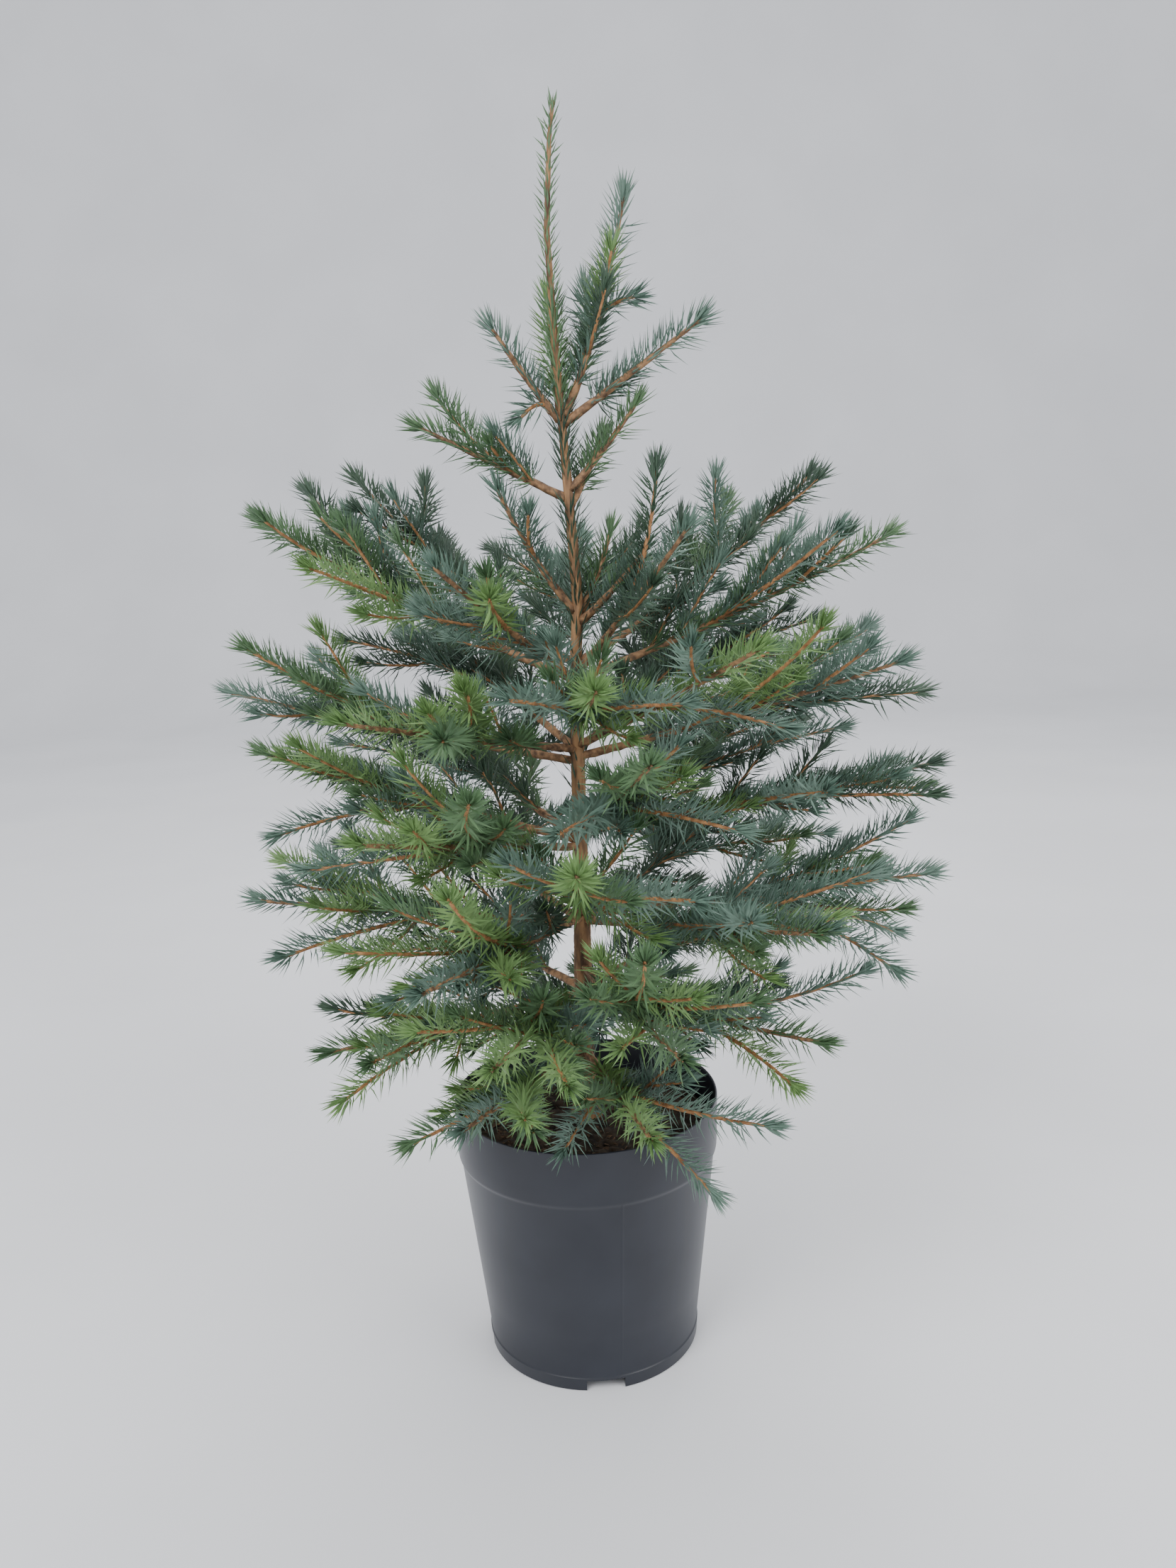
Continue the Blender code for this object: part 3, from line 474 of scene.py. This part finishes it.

# Needles: their form and stand on a shoot, the bands on the trunk itself, and how colours are dealt out, with
# a dark colour as painted shade on the crown's far side, its inner twigs and the trunk's lower bands
needles = {
    "perMetre": 2000,
    "bare": {0: 0.20, 1: 0.06, 2: 0.04, 3: 0.04},  # share of the shoot's foot without needles, by rank
    "tuft": (12, 10, 0.08),        # fewest at a tip, what a long shoot adds, and when it counts as long
    "tuftShare": 0.03,
    "goldenTurn": 2.39996,
    "turnSpread": 0.3,
    "liftUnder": (-0.35, 0.6),     # needles below this height turn up, by this chance
    "tipZone": 0.014,
    "length": (0.0160, 0.0200),
    "tipShorter": 0.12,
    "width": 0.00150,
    "thickness": 0.0008,
    "lean": 60.0,
    "tipLean": 22.0,
    "spread": (7.0, 0.06, 0.15),   # of the lean, the aim and the twist
    "forward": 0.35,
    "rootOut": 0.0002,
    "middle": (0.42, -0.03),       # along the aim and forward, in lengths
    "point": (0.97, 0.08),
    "corners": ((1.0, -0.6), (-1.0, -0.6), (0.0, 1.0)),
    "seed": 7,
    "share": 32000,                # most needles in a piece
    "scale": 55.0,
    "roughness": 0.48,
    "colours": {
        "blue": ((0.085, 0.150, 0.115), (0.150, 0.235, 0.185)),
        "green": ((0.065, 0.130, 0.060), (0.120, 0.215, 0.100)),
        "fresh": ((0.115, 0.215, 0.070), (0.190, 0.320, 0.110)),
        # dark: painted shade, a darkened needle colour for where shade falls inside and behind the crown
        "dark": ((0.030, 0.062, 0.040), (0.065, 0.115, 0.070)),
    },
}
sleeve = {
    # Lowest height, highest height, needles to the metre, size and colour; the dark bands low on the trunk,
    # inside the crown, are painted shade
    "bands": ((0.50, 0.56, 1700, 0.9, "dark"), (0.575, 0.615, 2000, 0.9, "dark"),
              (0.615, 0.680, 2000, 0.95, "green"), (0.680, 0.7885, 1100, 0.62, "green"),
              (0.38, 0.50, 700, 0.9, "dark")),
    "rootDepth": 0.8,
    "upright": (0.55, 0.45, 0.78, 0.01),  # on the stem, what the tip adds, from where and within what
}
dealing = {
    # Each colour with the share of draws that it and those before it take; the dark colour, dealt to the far
    # side and the inner twigs, is painted shade
    "back": (("dark", 0.45), ("blue", 0.75), ("green", 1.0)),
    "frontTip": (("fresh", 0.40), ("green", 0.75), ("blue", 1.0)),
    "side": (("blue", 0.45), ("green", 0.75), ("dark", 0.9), ("fresh", 1.0)),
    "backFrom": 0.05,
    "innerReach": 0.09,
    "frontFrom": -0.04,
    "frontReach": 0.11,
}


def needleRoots(curve, bare, chance):
    # Along B(s) by the golden angle: root, course, outward direction, nearness to the tip, and size.
    length = curveLength(curve)
    count = int(length * (1 - bare) * needles["perMetre"])
    shares = bare + (1 - bare) * (np.arange(count) + chance.uniform(0, 1, count)) / count
    fewest, more, long = needles["tuft"]
    crowd = int(fewest + more * min(1.0, length / long))
    shares = np.concatenate([shares, 1.0 - chance.uniform(0, needles["tuftShare"], crowd)])
    spread = needles["turnSpread"]
    turn = np.arange(len(shares)) * needles["goldenTurn"] + chance.uniform(-spread, spread, len(shares))
    lowest, lifted = needles["liftUnder"]
    turn = np.where((np.sin(turn) < lowest) & (chance.uniform(0, 1, len(turn)) < lifted), -turn, turn)
    course = curveCourse(curve, shares)
    across = unit(np.cross(course, (0.0, 0.0, 1.0)))
    out = across * np.cos(turn)[:, None] + np.cross(across, course) * np.sin(turn)[:, None]
    nearTip = np.clip(1 - (1 - shares) * length / needles["tipZone"], 0, 1)
    return curvePoint(curve, shares), course, out, nearTip, np.ones(len(shares))


def sleeveRoots(low, high, density, size):
    # Roots spiral up the bark by the golden angle, with the course straight up.
    count = int((high - low) * density)
    heights = np.linspace(low, high, count)
    turn = np.arange(count) * needles["goldenTurn"]
    out = np.stack([np.cos(turn), np.sin(turn), 0 * turn], -1)
    along, atTip, tipFrom, within = sleeve["upright"]
    nearTip = along + np.clip((heights - tipFrom) / within, 0, atTip)
    roots = trunkMiddle(heights) + out * trunkRadius(heights)[:, None] * sleeve["rootDepth"]
    return roots, np.tile((0.0, 0.0, 1.0), (count, 1)), out, nearTip, np.full(count, size)


def needleBodies(roots, courses, outs, nearTips, sizes, chance):
    # Closed 3-sided blades of 6 faces: a root point, a ring near the middle bent forward, and a tip.
    count = len(roots)
    leanSpread, aimSpread, twistSpread = needles["spread"]
    lean = np.radians(needles["lean"] + (needles["tipLean"] - needles["lean"]) * nearTips
                      + chance.normal(0, leanSpread, count))[:, None]
    length = (chance.uniform(*needles["length"], count) * (1 - needles["tipShorter"] * nearTips)
              * sizes)[:, None]
    aim = unit(courses * np.cos(lean) + outs * np.sin(lean) + chance.normal(0, aimSpread, (count, 3)))
    forward = unit(courses + needles["forward"] * aim)
    flat = unit(np.cross(aim, courses) + chance.normal(0, twistSpread, (count, 3)))
    thick = np.cross(aim, flat)
    corners = np.array(needles["corners"]) / 2 * (needles["width"], needles["thickness"])
    ring = flat[:, None] * corners[None, :, :1] + thick[:, None] * corners[None, :, 1:]
    low = (roots + outs * needles["rootOut"])[:, None]
    middleAlong, middleForward = needles["middle"]
    pointAlong, pointForward = needles["point"]
    middle = (roots + aim * length * middleAlong + forward * length * middleForward)[:, None] + ring
    point = (roots + aim * length * pointAlong + forward * length * pointForward)[:, None]
    points = np.concatenate([low, middle, point], 1)
    pattern = np.array([(0, 1, 2), (0, 2, 3), (0, 3, 1), (2, 1, 4), (3, 2, 4), (1, 3, 4)])
    faces = pattern[None] + points.shape[1] * np.arange(count)[:, None, None]
    return points.reshape(-1, 3), faces.reshape(-1, 3)


def shootColour(curve, rank, draw):
    # Painted shade: the far side and the inner twigs get the dark colour or blue; front tips are fresh or
    # green, the rest mixed.
    across, depth = curve[2][:2]
    reach = math.hypot(across, depth)
    shares = dealing["side"]
    if depth > dealing["backFrom"] or rank == 3 and reach < dealing["innerReach"]:
        shares = dealing["back"]
    elif reach > dealing["frontReach"] and depth < dealing["frontFrom"]:
        shares = dealing["frontTip"]
    return next(colour for colour, upTo in shares if draw < upTo)


def growNeedles():
    # Gathers the needles of every shoot by colour, with one stream of chance for the whole crown.
    chance = np.random.RandomState(needles["seed"])
    found = {colour: [] for colour in needles["colours"]}
    for curve, rank in shoots:
        roots = needleRoots(curve, needles["bare"][rank], chance)
        found[shootColour(curve, rank, chance.uniform())].append(roots)
    for *band, colour in sleeve["bands"]:
        found[colour].append(sleeveRoots(*band))
    return found


chance = np.random.RandomState(needles["seed"] + 1)
waiting = sleeveNodes  # the first piece of needles stands for the sleeves on the trunk
needleCount = 0
# The dark colour's pieces (needles_dark_*) and material (needle_dark) carry painted shade.
for colour, entries in growNeedles().items():
    columns = [np.concatenate(column) for column in zip(*entries)]
    dark, light = needles["colours"][colour]
    material = nodeMaterial("needle_" + colour, {"dark": dark, "light": light, "scale": needles["scale"],
                                                 "roughness": needles["roughness"]})
    every = np.arange(len(columns[0]))
    for number, part in enumerate(np.array_split(every, math.ceil(len(every) / needles["share"]))):
        bodies = needleBodies(*(column[part] for column in columns), chance)
        dataPiece(f"needles_{colour}_{number + 1}", *bodies, material, "needles", waiting, smooth=False)
        waiting = ()
    needleCount += len(every)
print("made", needleCount, "needles")

# Pot
pot = {
    "height": 0.175,
    "footRadius": 0.0715,
    "neckRadius": 0.0866,
    "rimRadius": 0.0885,
    "wall": 0.0015,
    "collar": 0.038,
    "footBand": 0.009,
    "footGroove": 0.0008,
    "footRim": 0.005,
    "floorLift": 0.009,
    "floorThick": 0.002,
    "round": 0.0003,               # of the lip and foot edges
    "sides": 144,
    "seamAzimuth": 283.5,
    "seamWidth": 0.0007,
    "seamHeight": 0.00022,
    "seamArcs": (0.0003, 0.0007, 0.0012, 0.002),
    "seamClear": 0.03,             # no even side lies this near the seam, in radians
    "notchAzimuth": 275.0,
    "notches": 4,
    "notch": (0.030, 0.025, 0.015),
    "sharpAngle": 32.0,
    "plastic": {"dark": (0.009, 0.011, 0.018), "light": (0.016, 0.019, 0.028), "scale": 22.0,
                "roughness": 0.33, "bump": 0.05, "bumpDepth": 0.0003, "low": 0.3, "high": 0.7},
}


def wallRadius(height):
    # The outside of the tapered wall, straight from the foot band to the neck.
    neck = pot["height"] - pot["collar"]
    share = (height - pot["footBand"]) / (neck - pot["footBand"])
    return pot["footRadius"] + share * (pot["neckRadius"] - pot["footRadius"] - pot["footGroove"])


def potProfile(values):
    # (r, z) round half the section: up the inside, over the lip, down the collar, wall and foot.
    top, band, lift, soft = values["height"], values["footBand"], values["floorLift"], values["round"]
    neck, wall = top - values["collar"], values["wall"]
    rim, inner = values["rimRadius"], values["rimRadius"] - wall
    foot, footIn = values["footRadius"], values["footRadius"] - values["footRim"]
    under = lift - values["floorThick"]
    inside = [(0.0005, lift), (wallRadius(lift) - wall, lift), (wallRadius(neck) - wall, neck - 0.001),
              (inner - 0.0016, neck + 0.003)]
    lip = [(inner, top - 0.0010), (inner + soft, top - soft), (inner + 0.0007, top),
           (rim - 0.0007, top), (rim - 0.0002, top - soft), (rim, top - 0.0010)]
    collar = [(rim - 0.0006, neck + 0.012), (rim - 0.0009, neck + 0.0034), (rim - 0.0012, neck + 0.0020),
              (rim - 0.0018, neck + 0.0010), (wallRadius(neck) + soft, neck - 0.0002),
              (wallRadius(neck), neck - 0.0012)]
    outside = [(wallRadius(z), z) for z in (0.09, 0.04)] + [(wallRadius(band + 0.001), band + 0.0012)]
    footRing = [(foot + soft, band + 0.0007), (foot + values["footGroove"], band), (foot + 0.0002, 0.0006),
                (foot - 0.0004, 0.0), (footIn + 0.0004, 0.0), (footIn, 0.0006), (footIn, under),
                (0.0005, under)]
    return inside + lip + collar + outside + footRing


def potShell(values):
    # The profile turned about Z; the seam adds height exp(-(arc / width)^2) to the radius of the wall.
    rim, seam = values["rimRadius"], math.radians(values["seamAzimuth"])
    arcs = np.array(values["seamArcs"])
    arcs = np.concatenate([-arcs[::-1], [0.0], arcs]) / rim
    even = np.arange(values["sides"]) * math.tau / values["sides"]
    even = even[np.abs((even - seam + math.pi) % math.tau - math.pi) > values["seamClear"]]
    angles = np.sort(np.concatenate([even, seam + arcs]) % math.tau)
    radii, heights = np.array(potProfile(values)).T
    offset = ((angles - seam + math.pi) % math.tau - math.pi) * rim
    raised = values["seamHeight"] * np.exp(-(offset / values["seamWidth"]) ** 2)
    onWall = ((heights > values["footBand"] + 0.002) & (heights < values["height"] - values["collar"] + 0.001)
              & (radii > wallRadius(heights) - 0.0004))
    r = radii[:, None] + onWall[:, None] * raised
    points = np.stack([r * np.cos(angles), r * np.sin(angles), heights[:, None] + 0 * r], -1).reshape(-1, 3)
    points, quads, fans = lidded(points, len(radii), len(angles), (0.0, 0.0, heights[0]),
                                 (0.0, 0.0, heights[-1]), turned=True)
    mesh = bpy.data.meshes.new("pot_shell")
    mesh.from_pydata(points.tolist(), [], quads.tolist() + fans.tolist())
    made = bpy.data.objects.new("pot_shell", mesh)
    bpy.context.scene.collection.objects.link(made)
    return made


def cutNotch(shell, values, azimuth):
    # Takes one open slot out of the foot, with a box centred on the foot ring.
    turn = math.radians(azimuth)
    bpy.ops.mesh.primitive_cube_add(size=1.0)
    cutter = bpy.context.object
    cutter.scale = values["notch"]
    reach = values["footRadius"] - 0.004
    cutter.location = (reach * math.cos(turn), reach * math.sin(turn), 0.0)
    cutter.rotation_euler = (0.0, 0.0, turn)
    cut = shell.modifiers.new("notch", "BOOLEAN")
    cut.operation = "DIFFERENCE"
    cut.solver = "EXACT"
    cut.object = cutter
    bpy.context.view_layer.update()
    result = bpy.data.meshes.new_from_object(shell.evaluated_get(bpy.context.evaluated_depsgraph_get()))
    shell.modifiers.clear()
    shell.data = result
    bpy.data.objects.remove(cutter, do_unlink=True)


def makePot(values):
    shell = potShell(values)
    for number in range(values["notches"]):
        cutNotch(shell, values, values["notchAzimuth"] + 360 / values["notches"] * number)
    shell.data.materials.clear()
    shell.data.materials.append(nodeMaterial("potPlastic", values["plastic"]))
    shell.data.shade_smooth()
    shell.data.set_sharp_from_angle(angle=math.radians(values["sharpAngle"]))
    finishPiece(shell, ("pot",))


makePot(pot)
print("pot made")

# Soil, and the bark chips on it
soil = {
    "height": 0.157,
    "under": 0.11,
    "underShare": 0.97,
    "wallGap": 0.0022,
    "edgeDrop": 0.003,
    "firstRing": 0.002,
    "rings": 46,
    "sides": 120,
    "lumps": 0.0016,
    "lumpLimits": (-1.5, 1.0),
    "waves": 24,
    "wavePitch": (180, 900),
    "seed": 11,
    "mix": {"dark": (0.010, 0.007, 0.005), "light": (0.055, 0.036, 0.022), "scale": 160.0,
            "roughness": 0.95, "bump": 0.8, "bumpDepth": 0.0008},
}
chips = {
    "count": 900,
    "edgeGap": 0.007,
    "lift": 0.0004,
    "size": (0.0008, 0.0028),
    "shape": (1.0, 0.7, 0.45),
    "tilt": 0.5,
    "rough": 0.25,
    "seed": 17,
    "bark": {"dark": (0.030, 0.018, 0.010), "light": (0.120, 0.070, 0.038), "scale": 210.0,
             "roughness": 0.9, "bump": 0.5},
}


def makeSoil(values):
    # z = height - drop (r/R)^2 + lumps of summed waves; the sides go straight down to a flat underside.
    edge = pot["neckRadius"] - pot["wall"] - values["wallGap"]
    r = np.linspace(values["firstRing"], edge, values["rings"])
    a = np.arange(values["sides"]) * math.tau / values["sides"]
    rr, aa = np.meshgrid(r, a, indexing="ij")
    x, y = rr * np.cos(aa), rr * np.sin(aa)
    chance = np.random.RandomState(values["seed"])
    lumps = 0 * x
    for _ in range(values["waves"]):
        way = chance.uniform(0, math.tau)
        pitch = chance.uniform(*values["wavePitch"])
        lumps += np.sin(pitch * (x * math.cos(way) + y * math.sin(way)) + chance.uniform(0, 7))
    lumps = np.clip(lumps / values["waves"] ** 0.5, *values["lumpLimits"])
    z = values["height"] - values["edgeDrop"] * (rr / edge) ** 2 + values["lumps"] * lumps
    top = np.stack([x, y, z], -1).reshape(-1, 3)
    low = edge * values["underShare"]
    foot = np.stack([low * np.cos(a), low * np.sin(a), 0 * a + values["under"]], -1)
    return inTriangles(*lidded(np.concatenate([top, foot]), values["rings"] + 1, values["sides"],
                               (0, 0, values["height"]), (0, 0, values["under"]), turned=True))


def makeChips(values):
    # Small bark chips: stretched octahedra scattered over the soil, with seeded turns and sizes.
    chance = np.random.RandomState(values["seed"])
    count = values["count"]
    edge = pot["neckRadius"] - values["edgeGap"]
    r = edge * np.sqrt(chance.uniform(0.02, 1, count))
    a = chance.uniform(0, math.tau, count)
    height = soil["height"] - soil["edgeDrop"] * (r / edge) ** 2 + values["lift"]
    place = np.stack([r * np.cos(a), r * np.sin(a), height], -1)
    corners = np.array([(1, 0, 0), (0, 1, 0), (-1, 0, 0), (0, -1, 0), (0, 0, 1), (0, 0, -1)], float)
    size = chance.uniform(*values["size"], (count, 1, 3)) * values["shape"]
    turn = chance.uniform(0, math.tau, count)
    tilt = chance.uniform(-values["tilt"], values["tilt"], (count, 2))
    local = corners[None] * size * (1 + values["rough"] * chance.uniform(-1, 1, (count, 6, 1)))
    c, s = np.cos(turn)[:, None], np.sin(turn)[:, None]
    x = local[..., 0] * c - local[..., 1] * s
    y = local[..., 0] * s + local[..., 1] * c
    z = local[..., 2] + x * tilt[:, :1] + y * tilt[:, 1:]
    points = np.stack([x, y, z], -1) + place[:, None]
    pattern = np.array([(0, 1, 4), (1, 2, 4), (2, 3, 4), (3, 0, 4),
                        (1, 0, 5), (2, 1, 5), (3, 2, 5), (0, 3, 5)])
    faces = pattern[None] + len(corners) * np.arange(count)[:, None, None]
    return points.reshape(-1, 3), faces.reshape(-1, 3)


dataPiece("soil_top", *makeSoil(soil), nodeMaterial("soilMix", soil["mix"]), "soil", ("soil",), smooth=False)
dataPiece("soil_chips", *makeChips(chips), nodeMaterial("soilChips", chips["bark"]), "soil", smooth=False)
print("soil made")

# Floor, backdrop and light
studio = {
    "halfWidth": 6.0,
    "frontEnd": -6.0,
    "wallFrom": 3.0,
    "bend": 0.8,
    "bendSteps": 16,
    "wallTop": 5.0,
    "floor": {"dark": (0.74, 0.745, 0.77), "light": (0.78, 0.785, 0.81), "scale": 3.0, "roughness": 0.6},
    "world": (0.95, 0.97, 1.0),
    "worldStrength": 0.95,
    "lights": (((-1.3, -1.9, 2.4), 1.4, 62.0), ((1.9, -1.4, 1.7), 1.6, 34.0), ((0.3, 1.6, 2.4), 1.4, 30.0)),
    "aim": (0.0, 0.0, 0.40),
}


def makeFloor(values):
    # A line in the YZ plane, level and then up through a quarter circle, swept along X.
    turn = np.linspace(0, math.pi / 2, values["bendSteps"])
    y = [values["frontEnd"], *(values["wallFrom"] + values["bend"] * np.sin(turn)),
         values["wallFrom"] + values["bend"]]
    z = [0.0, *(values["bend"] * (1 - np.cos(turn))), values["wallTop"]]
    x, y = np.meshgrid((-values["halfWidth"], values["halfWidth"]), y)
    points = np.stack([x, y, np.repeat(z, 2).reshape(-1, 2)], -1).reshape(-1, 3)
    first = 2 * np.arange(len(z) - 1)
    mesh = bpy.data.meshes.new("floor")
    mesh.from_pydata(points.tolist(), [], np.stack([first, first + 1, first + 3, first + 2], -1).tolist())
    mesh.shade_smooth()
    mesh.materials.append(nodeMaterial("floorPale", values["floor"]))
    floor = bpy.data.objects.new("floor", mesh)
    bpy.context.scene.collection.objects.link(floor)


def makeLights(values):
    # Square area lights that look at one point, in an even pale world.
    for number, (place, size, power) in enumerate(values["lights"]):
        lamp = bpy.data.lights.new(f"soft_{number}", "AREA")
        lamp.size = size
        lamp.energy = power
        holder = bpy.data.objects.new(lamp.name, lamp)
        bpy.context.scene.collection.objects.link(holder)
        back = unit(np.array(place) - np.array(values["aim"]))
        right = unit(np.cross((0.0, 0.0, 1.0), back))
        placeAlong(holder, right, np.cross(back, right), back, place)
    world = bpy.data.worlds.new("soft")
    world.use_nodes = True
    sky = world.node_tree.nodes["Background"]
    sky.inputs["Color"].default_value = (*values["world"], 1.0)
    sky.inputs["Strength"].default_value = values["worldStrength"]
    bpy.context.scene.world = world


makeFloor(studio)
makeLights(studio)
print("floor and light made")
